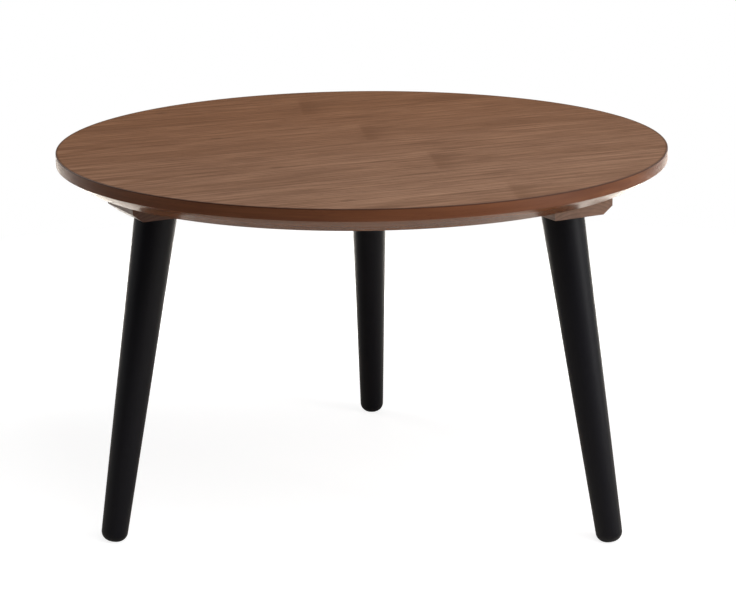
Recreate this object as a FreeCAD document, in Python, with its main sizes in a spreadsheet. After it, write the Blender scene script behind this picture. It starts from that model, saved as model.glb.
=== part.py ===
"""Round cocktail table: a veneered disc with an under-cut rim, carried on battens by three splayed legs.

The floor is z = 0, the top's centre is over the origin and the rear leg stands on +Y. A batten that carries
the right and rear legs and a short one that carries the left leg are screwed up into the top. Each leg seats
squarely in a slanted socket of its batten and is held by a hanger bolt in a threaded insert.
"""

import FreeCAD
import Part
import Sketcher
import os

# Driving sizes in millimetres and degrees.
SIZES = [
    ("table_height", 457, "floor to the face of the top"),
    ("top_diameter", 750, "across the upright edge"),
    ("top_thickness", 30, "face to underside of the panel"),
    ("upright_edge", 14, "height of the upright edge above the under-cut"),
    ("bevel_run", 25, "how far the under-cut goes in"),
    ("face_thickness", 0.6, "face veneer"),
    ("back_thickness", 0.6, "balancing veneer under the panel"),
    ("band_thickness", 1, "edge and bevel bands, measured level"),
    ("arris_round", 0.8, "easing of the edge band's upper edge"),
    ("batten_thickness", 27, "depth of the battens below the panel"),
    ("batten_side_ledge", 8.2, "flat of a batten beside a leg"),
    ("batten_end_ledge", 12.5, "flat of a batten beyond a leg, to its end"),
    ("batten_chamfer_run", 12.5, "outer chamfer of a batten, level"),
    ("batten_chamfer_rise", 9.5, "outer chamfer of a batten, upright"),
    ("batten_arris", 0.6, "easing of the battens' lower edges"),
    ("foot_inset", 27, "where the legs' axes meet the floor, in from the rim"),
    ("leg_splay", 10, "lean of a leg from upright"),
    ("leg_top_diameter", 51, "leg at its seat"),
    ("leg_foot_diameter", 31.7, "leg at the floor, before rounding"),
    ("foot_round", 12, "rounding of the foot"),
    ("socket_lip", 1, "depth of a socket at its shallow side"),
    ("socket_clearance", 0.2, "room round a leg in its socket"),
    ("bolt_diameter", 8, "hanger bolt"),
    ("bolt_grip", 40, "length of a hanger bolt in its leg"),
    ("bolt_point", 6, "pointed end of a hanger bolt"),
    ("bolt_tip_diameter", 2, "blunt end of a hanger bolt's point"),
    ("thread_clearance", 0.1, "room round a threaded piece"),
    ("bore_spare", 3, "depth of a hole past what it holds"),
    ("insert_diameter", 12, "threaded insert"),
    ("insert_length", 14, "threaded insert"),
    ("screw_diameter", 4.5, "batten screw shank"),
    ("screw_head_diameter", 8.6, "batten screw countersunk head"),
    ("screw_bite", 12, "length of a batten screw in the panel"),
    ("screw_point", 5, "pointed end of a batten screw"),
    ("screw_inset", 8, "batten screws from the edges of the batten's flat"),
    ("screw_leg_gap", 90, "long batten's outer screws from the leg centres"),
]

# Directions of the legs and of the battens' outer sides, in degrees from +X.
LEG_HEADINGS = {"right": 330, "rear": 90, "left": 210}
LONG_BATTEN_HEADING = 30
SHORT_BATTEN_HEADING = LEG_HEADINGS["left"]
HALF_LEG_ANGLE = 60
LONG_BATTEN_ROWS = 3
SHORT_BATTEN_ROWS = 2
SCREW_COLUMNS = 2

# Lengths that follow from the driving sizes.
TOP_RADIUS = "(Sizes.top_diameter / 2)"
CORE_RADIUS = f"({TOP_RADIUS} - Sizes.band_thickness)"
UNDERSIDE = "(Sizes.table_height - Sizes.top_thickness)"
RIM_FOOT = "(Sizes.table_height - Sizes.upright_edge)"
FACE_BED = "(Sizes.table_height - Sizes.face_thickness)"
BACK_BED = f"({UNDERSIDE} + Sizes.back_thickness)"
BEVEL_SLOPE = "(Sizes.bevel_run / (Sizes.top_thickness - Sizes.upright_edge))"
BACK_BED_RADIUS = f"({CORE_RADIUS} - {BEVEL_SLOPE} * ({RIM_FOOT} - {BACK_BED}))"
BATTEN_BOTTOM = f"({UNDERSIDE} - Sizes.batten_thickness)"
FLAT_HALF = "(Sizes.leg_top_diameter / 2 + Sizes.batten_side_ledge)"
END_REACH = "(Sizes.leg_top_diameter / 2 + Sizes.batten_end_ledge)"
SEAT_DEPTH = "(Sizes.socket_lip + Sizes.leg_top_diameter / 2 * sin(Sizes.leg_splay))"
SEAT_HEIGHT = f"({BATTEN_BOTTOM} + {SEAT_DEPTH})"
FOOT_RADIUS = f"({TOP_RADIUS} - Sizes.foot_inset)"
SEAT_RADIUS = f"({FOOT_RADIUS} - {SEAT_HEIGHT} * tan(Sizes.leg_splay))"
LEG_LENGTH = f"({SEAT_HEIGHT} / cos(Sizes.leg_splay))"
LONG_BATTEN_OUT = f"({SEAT_RADIUS} * cos({HALF_LEG_ANGLE}))"
LONG_BATTEN_LEG = f"({SEAT_RADIUS} * sin({HALF_LEG_ANGLE}))"
SCREW_LENGTH = "(Sizes.batten_thickness + Sizes.screw_bite)"
SCREW_COLUMN_GAP = f"(2 * {FLAT_HALF} - 2 * Sizes.screw_inset)"
LONG_SCREW_ROW_GAP = f"({LONG_BATTEN_LEG} - Sizes.screw_leg_gap)"
SHORT_SCREW_ROW_GAP = f"(2 * {END_REACH} - 2 * Sizes.screw_inset)"

# Index numbers of a line's ends, a circle's centre, and a sketch's own origin and axes.
START_INDEX = 1
END_INDEX = 2
CENTRE_INDEX = 3
ORIGIN_INDEX = -1
H_AXIS_INDEX = -1
V_AXIS_INDEX = -2
TOLERANCE = 1e-4

doc = FreeCAD.newDocument("RoundCocktailTable")
sheet = doc.addObject("Spreadsheet::Sheet", "Sizes")
for row, (size_name, size_value, meaning) in enumerate(SIZES, start=1):
    sheet.set(f"A{row}", meaning)
    sheet.set(f"B{row}", str(size_value))
    sheet.setAlias(f"B{row}", size_name)
doc.recompute()

sub_parts = []


def value(expression):
    """The number that an expression of the sizes comes to."""
    return float(sheet.evalExpression(expression))


def new_body(label, placement=None):
    """An empty sub-part, standing where its placement expression says."""
    body = doc.addObject("PartDesign::Body", label)
    body.Label = label
    body.AllowCompound = True
    if placement:
        body.setExpression("Placement", placement)
    sub_parts.append(body)
    return body


def new_sketch(body, name, plane_role, offset=None):
    """A sketch on one of the body's own planes, moved from it by an offset expression."""
    sketch = body.newObject("Sketcher::SketchObject", name)
    plane = next(item for item in body.Origin.OriginFeatures if item.Role == plane_role)
    sketch.AttachmentSupport = [(plane, "")]
    sketch.MapMode = "FlatFace"
    if offset:
        sketch.setExpression("AttachmentOffset", offset)
    return sketch


def outline(body, name, corners, plane_role="XZ_Plane", offset=None):
    """A closed outline through corners, each a pair of expressions in the sketch's plane."""
    sketch = new_sketch(body, name, plane_role, offset)
    points = [FreeCAD.Vector(value(across), value(along), 0) for across, along in corners]
    count = len(points)
    for index, point in enumerate(points):
        sketch.addGeometry(Part.LineSegment(point, points[(index + 1) % count]))
    for index, (across, along) in enumerate(corners):
        following = (index + 1) % count
        sketch.addConstraint(
            Sketcher.Constraint("Coincident", index, END_INDEX, following, START_INDEX)
        )
        hold_corner(sketch, index, "DistanceX", across, V_AXIS_INDEX)
        hold_corner(sketch, index, "DistanceY", along, H_AXIS_INDEX)
    return sketch


def hold_corner(sketch, index, direction, expression, zero_axis):
    """Holds one coordinate of a line's start to an expression, or on the axis where it is nought."""
    if expression == "0":
        sketch.addConstraint(Sketcher.Constraint("PointOnObject", index, START_INDEX, zero_axis))
        return
    held = Sketcher.Constraint(
        direction, ORIGIN_INDEX, START_INDEX, index, START_INDEX, value(expression)
    )
    number = sketch.addConstraint(held)
    sketch.setExpression(f"Constraints[{number}]", expression)


def disc(body, name, radius, offset):
    """A circle about its sketch's origin."""
    sketch = new_sketch(body, name, "XY_Plane", offset)
    circle = Part.Circle(FreeCAD.Vector(0, 0, 0), FreeCAD.Vector(0, 0, 1), value(radius))
    number = sketch.addGeometry(circle)
    sketch.addConstraint(
        Sketcher.Constraint("Coincident", number, CENTRE_INDEX, ORIGIN_INDEX, START_INDEX)
    )
    held = sketch.addConstraint(Sketcher.Constraint("Radius", number, value(radius)))
    sketch.setExpression(f"Constraints[{held}]", radius)
    return sketch


def revolve(body, name, sketch, kind="PartDesign::Revolution"):
    """Turns an outline right round its own upright axis, to add to the body or to cut from it."""
    feature = body.newObject(kind, name)
    feature.Profile = sketch
    feature.ReferenceAxis = (sketch, ["V_Axis"])
    feature.Angle = 360
    doc.recompute()
    return feature


def pocket(body, name, sketch, depth, upward=False):
    """Cuts a sketch into the body, against the sketch's normal or along it."""
    feature = body.newObject("PartDesign::Pocket", name)
    feature.Profile = sketch
    feature.Reversed = upward
    feature.setExpression("Length", depth)
    doc.recompute()
    return feature


def must_cut(body, volume_before):
    """Stops the build where a cut took nothing away."""
    if body.Shape.Volume > volume_before - TOLERANCE:
        raise RuntimeError(f"{body.Label}: the last cut removes nothing")


def ring_edges(feature, radius, height):
    """Names of the circular edges of that radius whose plane is at that height."""
    names = []
    for number, edge in enumerate(feature.Shape.Edges, start=1):
        if not isinstance(edge.Curve, Part.Circle):
            continue
        same_radius = abs(edge.Curve.Radius - value(radius)) < TOLERANCE
        if same_radius and abs(edge.Curve.Center.z - value(height)) < TOLERANCE:
            names.append(f"Edge{number}")
    return names


def fillet(body, name, feature, edge_names, radius):
    """Rounds the named edges of a feature."""
    rounding = body.newObject("PartDesign::Fillet", name)
    rounding.Base = (feature, edge_names)
    rounding.setExpression("Radius", radius)
    doc.recompute()
    return rounding


def leg_frame(heading):
    """Placement of a leg's seat: on the seat circle, with z up along the leaning leg."""
    return (
        f"placement(vector({SEAT_RADIUS} * cos({heading}); {SEAT_RADIUS} * sin({heading});"
        f" {SEAT_HEIGHT}); rotation(vector(-sin({heading}); cos({heading}); 0);"
        " -Sizes.leg_splay))"
    )


def batten_frame(heading, distance):
    """Placement of a batten: x outwards from the legs' line, y along it, z up from its bottom."""
    return (
        f"placement(vector({distance} * cos({heading}); {distance} * sin({heading});"
        f" {BATTEN_BOTTOM}); rotation(vector(0; 0; 1); {heading}))"
    )


def screw_corners(clearance):
    """Half outline of a countersunk screw standing on z = 0, grown all round by a clearance."""
    shank = f"(Sizes.screw_diameter / 2 + {clearance})"
    head = f"(Sizes.screw_head_diameter / 2 + {clearance})"
    neck = "(Sizes.screw_head_diameter - Sizes.screw_diameter) / 2"
    tip = f"({SCREW_LENGTH} + {clearance})"
    return [
        ("0", "0"),
        (head, "0"),
        (shank, neck),
        (shank, f"{tip} - Sizes.screw_point"),
        ("0", tip),
    ]


def screw_offset(rows, row_gap, heading=None, distance=None):
    """Place of the first screw of a batten, in the batten's own frame or in the table's."""
    out = f"(-{SCREW_COLUMN_GAP} / 2)"
    along = f"({row_gap} * {rows - 1} / 2)"
    if heading is None:
        return f"placement(vector({out}; 0; -{along}); rotation(vector(0; 1; 0); 0))"
    east = f"(({distance} + {out}) * cos({heading}) - {along} * sin({heading}))"
    north = f"(({distance} + {out}) * sin({heading}) + {along} * cos({heading}))"
    return (
        f"placement(vector({east}; {BATTEN_BOTTOM}; -{north});"
        f" rotation(vector(0; 1; 0); {heading}))"
    )


def screw_rows(body, name, kind, clearance, offset, rows, row_gap):
    """A batten's screws, or the holes for them, as one revolved outline repeated in rows."""
    sketch = outline(body, f"{name}_outline", screw_corners(clearance), offset=offset)
    first = revolve(body, f"{name}_first", sketch, kind)
    pattern = body.newObject("PartDesign::LinearPattern", f"{name}_rows")
    pattern.Originals = [first]
    pattern.Direction = (sketch, ["H_Axis"])
    pattern.Occurrences = SCREW_COLUMNS
    pattern.setExpression("Length", SCREW_COLUMN_GAP)
    pattern.Direction2 = (sketch, ["N_Axis"])
    pattern.Occurrences2 = rows
    pattern.setExpression("Length2", f"{row_gap} * {rows - 1}")
    body.Tip = pattern
    doc.recompute()


# Every batten: its name, outward heading, distance of the legs' line from the centre, half its length,
# its legs with their places along it, and its screw rows.
BATTENS = [
    {
        "name": "long_batten",
        "heading": LONG_BATTEN_HEADING,
        "distance": LONG_BATTEN_OUT,
        "half_length": f"({LONG_BATTEN_LEG} + {END_REACH})",
        "legs": [("right", f"-{LONG_BATTEN_LEG}"), ("rear", LONG_BATTEN_LEG)],
        "rows": LONG_BATTEN_ROWS,
        "row_gap": LONG_SCREW_ROW_GAP,
    },
    {
        "name": "short_batten",
        "heading": SHORT_BATTEN_HEADING,
        "distance": SEAT_RADIUS,
        "half_length": END_REACH,
        "legs": [("left", "0")],
        "rows": SHORT_BATTEN_ROWS,
        "row_gap": SHORT_SCREW_ROW_GAP,
    },
]


def drill_panel(body):
    """Holes in a layer of the top for the screws of both battens."""
    for batten in BATTENS:
        before = body.Shape.Volume
        place = screw_offset(
            batten["rows"], batten["row_gap"], batten["heading"], batten["distance"]
        )
        screw_rows(
            body,
            f"{body.Label}_{batten['name']}_holes",
            "PartDesign::Groove",
            "Sizes.thread_clearance",
            place,
            batten["rows"],
            batten["row_gap"],
        )
        must_cut(body, before)


def build_top():
    """The panel: core, face, back, and the bands round its upright edge and under-cut."""
    core = new_body("top_core")
    core_outline = outline(
        core,
        "core_outline",
        [
            ("0", BACK_BED),
            (BACK_BED_RADIUS, BACK_BED),
            (CORE_RADIUS, RIM_FOOT),
            (CORE_RADIUS, FACE_BED),
            ("0", FACE_BED),
        ],
    )
    revolve(core, "core_disc", core_outline)
    drill_panel(core)

    face = new_body("face_veneer")
    face_outline = outline(
        face,
        "face_outline",
        [
            ("0", FACE_BED),
            (CORE_RADIUS, FACE_BED),
            (CORE_RADIUS, "Sizes.table_height"),
            ("0", "Sizes.table_height"),
        ],
    )
    revolve(face, "face_disc", face_outline)

    edge = new_body("edge_band")
    edge_outline = outline(
        edge,
        "edge_outline",
        [
            (CORE_RADIUS, RIM_FOOT),
            (TOP_RADIUS, RIM_FOOT),
            (TOP_RADIUS, "Sizes.table_height"),
            (CORE_RADIUS, "Sizes.table_height"),
        ],
    )
    edge_ring = revolve(edge, "edge_ring", edge_outline)
    rim = ring_edges(edge_ring, TOP_RADIUS, "Sizes.table_height")
    easing = "min(Sizes.arris_round; Sizes.band_thickness * 0.9)"
    fillet(edge, "edge_arris", edge_ring, rim, easing)

    bevel = new_body("bevel_band")
    bevel_outline = outline(
        bevel,
        "bevel_outline",
        [
            (f"{CORE_RADIUS} - Sizes.bevel_run", UNDERSIDE),
            (f"{TOP_RADIUS} - Sizes.bevel_run", UNDERSIDE),
            (TOP_RADIUS, RIM_FOOT),
            (CORE_RADIUS, RIM_FOOT),
        ],
    )
    revolve(bevel, "bevel_ring", bevel_outline)

    back = new_body("back_veneer")
    back_outline = outline(
        back,
        "back_outline",
        [
            ("0", UNDERSIDE),
            (f"{CORE_RADIUS} - Sizes.bevel_run", UNDERSIDE),
            (BACK_BED_RADIUS, BACK_BED),
            ("0", BACK_BED),
        ],
    )
    revolve(back, "back_disc", back_outline)
    drill_panel(back)


def lower_long_edges(feature):
    """Names of a batten's straight edges along y that lie on its bottom, chamfer and outer side."""
    limit = value("Sizes.batten_chamfer_rise") + TOLERANCE
    names = []
    for number, edge in enumerate(feature.Shape.Edges, start=1):
        start, end = (vertex.Point for vertex in edge.Vertexes)
        along_batten = abs(start.x - end.x) < TOLERANCE and abs(start.z - end.z) < TOLERANCE
        if along_batten and start.z < limit:
            names.append(f"Edge{number}")
    return names


def build_batten(batten):
    """One batten: chamfered on its outer side, with leg sockets, insert holes and screw holes."""
    name = batten["name"]
    body = new_body(name, batten_frame(batten["heading"], batten["distance"]))
    section = outline(
        body,
        f"{name}_section",
        [
            (f"-{FLAT_HALF}", "0"),
            (FLAT_HALF, "0"),
            (f"{FLAT_HALF} + Sizes.batten_chamfer_run", "Sizes.batten_chamfer_rise"),
            (f"{FLAT_HALF} + Sizes.batten_chamfer_run", "Sizes.batten_thickness"),
            (f"-{FLAT_HALF}", "Sizes.batten_thickness"),
        ],
    )
    board = body.newObject("PartDesign::Pad", f"{name}_board")
    board.Profile = section
    board.SideType = "Symmetric"
    board.setExpression("Length", f"2 * {batten['half_length']}")
    doc.recompute()
    fillet(body, f"{name}_arris", board, lower_long_edges(board), "Sizes.batten_arris")
    for leg_name, along in batten["legs"]:
        before = body.Shape.Volume
        turn = LEG_HEADINGS[leg_name] - batten["heading"]
        seat = (
            f"placement(vector(0; {along}; {SEAT_DEPTH});"
            f" rotation(vector(-sin({turn}); cos({turn}); 0); -Sizes.leg_splay))"
        )
        socket_radius = "Sizes.leg_top_diameter / 2 + Sizes.socket_clearance"
        socket = disc(body, f"{leg_name}_socket_circle", socket_radius, seat)
        pocket(body, f"{leg_name}_socket", socket, "Sizes.leg_top_diameter")
        must_cut(body, before)
        before = body.Shape.Volume
        hole_radius = "Sizes.insert_diameter / 2 + Sizes.thread_clearance"
        hole = disc(body, f"{leg_name}_insert_circle", hole_radius, seat)
        hole_depth = "Sizes.insert_length + Sizes.bore_spare"
        pocket(body, f"{leg_name}_insert_hole", hole, hole_depth, upward=True)
        must_cut(body, before)
    before = body.Shape.Volume
    screw_rows(
        body,
        f"{name}_holes",
        "PartDesign::Groove",
        "Sizes.thread_clearance",
        screw_offset(batten["rows"], batten["row_gap"]),
        batten["rows"],
        batten["row_gap"],
    )
    must_cut(body, before)


def build_batten_screws(batten):
    """The countersunk screws of one batten, heads level with its bottom."""
    name = f"{batten['name']}_screws"
    body = new_body(name, batten_frame(batten["heading"], batten["distance"]))
    screw_rows(
        body,
        name,
        "PartDesign::Revolution",
        "0",
        screw_offset(batten["rows"], batten["row_gap"]),
        batten["rows"],
        batten["row_gap"],
    )


def build_leg(leg_name, heading):
    """One leg: straight taper from its seat to a rounded foot, cut level at the floor."""
    body = new_body(f"leg_{leg_name}", leg_frame(heading))
    bore = "Sizes.bolt_diameter / 2 + Sizes.thread_clearance"
    bore_end = "-(Sizes.bolt_grip + Sizes.bore_spare)"
    half_outline = outline(
        body,
        f"{leg_name}_leg_outline",
        [
            (bore, "0"),
            ("Sizes.leg_top_diameter / 2", "0"),
            ("Sizes.leg_foot_diameter / 2", f"-{LEG_LENGTH}"),
            ("0", f"-{LEG_LENGTH}"),
            ("0", bore_end),
            (bore, bore_end),
        ],
    )
    taper = revolve(body, f"{leg_name}_leg_taper", half_outline)
    foot = ring_edges(taper, "Sizes.leg_foot_diameter / 2", f"-{LEG_LENGTH}")
    rounding = "min(Sizes.foot_round; Sizes.leg_foot_diameter * 0.45)"
    fillet(body, f"{leg_name}_foot_round", taper, foot, rounding)
    before = body.Shape.Volume
    floor = (
        f"placement(vector(0; 0; -{LEG_LENGTH});"
        f" rotation(vector(-sin({heading}); cos({heading}); 0); Sizes.leg_splay))"
    )
    level = disc(body, f"{leg_name}_floor_circle", "Sizes.leg_foot_diameter", floor)
    pocket(body, f"{leg_name}_foot_level", level, "Sizes.leg_foot_diameter")
    must_cut(body, before)


def build_hanger_bolt(leg_name, heading):
    """The bolt of one leg: pointed in the leg, level with the top of its insert."""
    body = new_body(f"hanger_bolt_{leg_name}", leg_frame(heading))
    radius = "Sizes.bolt_diameter / 2"
    tip = "Sizes.bolt_tip_diameter / 2"
    half_outline = outline(
        body,
        f"{leg_name}_bolt_outline",
        [
            ("0", "-Sizes.bolt_grip"),
            (tip, "-Sizes.bolt_grip"),
            (radius, "Sizes.bolt_point - Sizes.bolt_grip"),
            (radius, "Sizes.insert_length"),
            ("0", "Sizes.insert_length"),
        ],
    )
    revolve(body, f"{leg_name}_bolt_rod", half_outline)


def build_threaded_insert(leg_name, heading):
    """The insert of one leg, flush with its seat."""
    body = new_body(f"threaded_insert_{leg_name}", leg_frame(heading))
    bore = "Sizes.bolt_diameter / 2 + Sizes.thread_clearance"
    half_outline = outline(
        body,
        f"{leg_name}_insert_outline",
        [
            (bore, "0"),
            ("Sizes.insert_diameter / 2", "0"),
            ("Sizes.insert_diameter / 2", "Sizes.insert_length"),
            (bore, "Sizes.insert_length"),
        ],
    )
    revolve(body, f"{leg_name}_insert_sleeve", half_outline)


def check_model():
    """Stops the build if any object failed or any sub-part has no valid solid."""
    for item in doc.Objects:
        if "Invalid" in item.State or "Error" in item.State:
            raise RuntimeError(f"{item.Label} failed: {item.State}")
    for body in sub_parts:
        if body.Shape.isNull() or not body.Shape.isValid() or not body.Shape.Solids:
            raise RuntimeError(f"{body.Label} has no valid solid")


def write_parts():
    """Writes each sub-part to its own file and prints its solids and volume."""
    os.makedirs("parts", exist_ok=True)
    for body in sub_parts:
        body.Shape.exportStep(f"parts/{body.Label}.step")
        print(body.Label, len(body.Shape.Solids), round(body.Shape.Volume, 1))


build_top()
for batten in BATTENS:
    build_batten(batten)
    build_batten_screws(batten)
for leg_name, heading in LEG_HEADINGS.items():
    build_leg(leg_name, heading)
    build_hanger_bolt(leg_name, heading)
    build_threaded_insert(leg_name, heading)
doc.recompute()
check_model()
write_parts()
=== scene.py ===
"""Looks of the round cocktail table: a slip-matched walnut top, walnut battens and satin black legs.

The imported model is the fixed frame. The turned pieces are worked out again here as smooth surfaces with their
own unrolled coordinates, and the flat ones keep their solids. Lengths are in metres, angles in degrees.
"""

import logging
import math
from abc import ABC, abstractmethod
from dataclasses import dataclass
from enum import Enum

import bmesh
import bpy
import numpy as np
from mathutils import Matrix, Vector


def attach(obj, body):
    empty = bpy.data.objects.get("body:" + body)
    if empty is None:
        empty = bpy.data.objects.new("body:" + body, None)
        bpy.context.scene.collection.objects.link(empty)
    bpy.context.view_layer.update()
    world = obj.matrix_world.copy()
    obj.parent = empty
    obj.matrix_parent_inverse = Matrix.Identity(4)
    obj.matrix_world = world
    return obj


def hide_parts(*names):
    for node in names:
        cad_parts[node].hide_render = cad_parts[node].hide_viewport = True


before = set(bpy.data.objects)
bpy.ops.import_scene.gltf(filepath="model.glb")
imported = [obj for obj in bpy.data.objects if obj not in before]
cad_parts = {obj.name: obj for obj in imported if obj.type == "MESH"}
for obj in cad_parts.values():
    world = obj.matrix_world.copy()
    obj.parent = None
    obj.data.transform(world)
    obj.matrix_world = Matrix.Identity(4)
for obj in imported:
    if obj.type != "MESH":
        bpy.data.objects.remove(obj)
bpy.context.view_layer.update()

BODY = "root"
UNROLLED_MAP = "unrolled"
WELD_DISTANCE = 1e-6
SHARP_ANGLE = math.radians(35.0)
FULL_TURN = 2.0 * math.pi
RIGHT_ANGLE = 90.0
GRAIN_HEADING = 24.5
FLATTEN = (1.0, 1.0, 0.0)

Socket = bpy.types.NodeSocket
Feed = Socket | float | tuple
Colour = tuple[float, float, float, float]
Point = tuple[float, float, float]
Span = tuple[float, float]
Limits = tuple[float, float, float, float]
Outline = list[tuple[float, float, float]]

log = logging.getLogger("cocktail_table")


def tint(*screen: int) -> Colour:
    """Turns a screen's red, green and blue, 0 to 255, into the linear colour that shaders take."""
    seen = np.array(screen) / 255.0
    return (*np.where(seen <= 0.04045, seen / 12.92, ((seen + 0.055) / 1.055) ** 2.4).tolist(), 1.0)


class PatternSpace(Enum):
    """Where a finish reads its place from."""

    SOLID = "Object"
    UNROLLED = "UV"


class NodeBench:
    """Adds nodes to one tree and joins them, so that a finish reads as a list of steps."""

    def __init__(self, tree: bpy.types.NodeTree) -> None:
        """Keeps the tree that the nodes go into."""
        self.tree = tree

    def add(self, kind: str, feeds: dict | None = None, **settings: object) -> bpy.types.Node:
        """Adds one node.

        Args:
            kind: Blender's name for the kind of node.
            feeds: what each input takes, a socket to link or a value to set.
            settings: the node's own options.

        Returns:
            The node.
        """
        node = self.tree.nodes.new(kind)
        for name, setting in settings.items():
            setattr(node, name, setting)
        for name, feed in (feeds or {}).items():
            if isinstance(feed, Socket):
                self.tree.links.new(feed, node.inputs[name])
            else:
                node.inputs[name].default_value = feed
        return node

    def step(self, kind: str, feeds: dict | None = None, **settings: object) -> Socket:
        """Adds a shader node, named without Blender's prefix, and gives its first output."""
        return self.add(f"ShaderNode{kind}", feeds, **settings).outputs[0]

    def show(self, shader: Socket, target: str = "Material") -> None:
        """Ends the tree with a shader."""
        self.add(f"ShaderNodeOutput{target}", {0: shader})

    def place(self, space: PatternSpace) -> Socket:
        """The coordinates that a pattern is laid out in."""
        return self.add("ShaderNodeTexCoord").outputs[space.value]

    def stretch(self, vector: Socket, scale: Point, offset: Point = (0.0, 0.0, 0.0)) -> Socket:
        """Coordinates multiplied by a scale and then shifted."""
        return self.step("Mapping", {"Vector": vector, "Scale": scale, "Location": offset})

    def turned_frame(self, vector: Socket, origin: Point, heading: float) -> Socket:
        """Coordinates measured from an origin, with X turned to a heading about Z."""
        feeds = {"Vector": vector, "Location": origin, "Rotation": (0.0, 0.0, math.radians(heading))}
        return self.step("Mapping", feeds, vector_type="TEXTURE")

    def split(self, vector: Socket) -> tuple[Socket, Socket, Socket]:
        """The three parts of a vector."""
        return tuple(self.add("ShaderNodeSeparateXYZ", {0: vector}).outputs)

    def join(self, *parts: Feed) -> Socket:
        """A vector from its three parts."""
        return self.step("CombineXYZ", dict(enumerate(parts)))

    def length(self, vector: Socket) -> Socket:
        """How long a vector is."""
        return self.add("ShaderNodeVectorMath", {0: vector}, operation="LENGTH").outputs["Value"]

    def math(self, operation: str, *feeds: Feed) -> Socket:
        """One step of arithmetic."""
        return self.step("Math", dict(enumerate(feeds)), operation=operation)

    def product(self, first: Feed, second: Feed) -> Socket:
        """One value times another."""
        return self.math("MULTIPLY", first, second)

    def ramp(self, value: Feed, slope: Feed, start: Feed) -> Socket:
        """A value times a slope, plus a start."""
        return self.math("MULTIPLY_ADD", value, slope, start)

    def blend(self, first: Feed, second: Feed, share: float) -> Socket:
        """Two values mixed, with a share of the second."""
        return self.ramp(first, 1.0 - share, self.product(second, share))

    def shaken(self, value: Feed, noise: Socket, width: Feed) -> Socket:
        """A value moved to and fro by noise, over a width."""
        return self.ramp(self.math("SUBTRACT", noise, 0.5), width, value)

    def total(self, *feeds: Feed) -> Socket:
        """Values added together, the first to the sum of the rest."""
        return feeds[0] if len(feeds) == 1 else self.math("ADD", feeds[0], self.total(*feeds[1:]))

    def rise(self, value: Feed, low: float, high: float, start: float = 0.0, end: float = 1.0) -> Socket:
        """A smooth change from start to end as a value goes from low to high."""
        feeds = {"Value": value, "From Min": low, "From Max": high, "To Min": start, "To Max": end}
        return self.step("MapRange", feeds, interpolation_type="SMOOTHSTEP")

    def mix(self, factor: Feed, first: Feed, second: Feed, mode: str = "MIX") -> Socket:
        """Two colours blended by a factor; a Mix node takes its colours by its sockets 6 and 7."""
        feeds = {0: factor, 6: first, 7: second}
        return self.add("ShaderNodeMix", feeds, data_type="RGBA", blend_type=mode).outputs[2]

    def choose(self, factor: Feed, first: Socket, second: Socket) -> Socket:
        """Two shaders blended by a factor."""
        return self.step("MixShader", {0: factor, 1: first, 2: second})

    def matt(self, colour: Colour) -> Socket:
        """A matt shader."""
        return self.step("BsdfDiffuse", {"Color": colour})

    def glow(self, colour: Colour, strength: float, kind: str = "Emission") -> Socket:
        """A shader that shines by itself."""
        return self.step(kind, {"Color": colour, "Strength": strength})


@dataclass(frozen=True)
class Noise:
    """Smooth noise from 0 to 1: its cells to the metre along each axis, its finer layers and its swirl."""

    cells: Point
    layers: float = 2.0
    swirl: float = 0.0

    def over(self, bench: NodeBench, place: Socket) -> Socket:
        """The noise at each place."""
        feeds = {"Scale": 1.0, "Detail": self.layers, "Distortion": self.swirl}
        return bench.step("TexNoise", {"Vector": bench.stretch(place, self.cells), **feeds})


@dataclass(frozen=True)
class Mark:
    """A smooth band of tone: it climbs between the first two limits and falls between the last two."""

    limits: Limits
    tone: float = 1.0

    def across(self, bench: NodeBench, value: Socket) -> Socket:
        """The tone at each value."""
        climb = bench.rise(value, *self.limits[:2], 0.0, self.tone)
        return bench.product(climb, bench.rise(value, *self.limits[2:], 1.0, 0.0))


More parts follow.
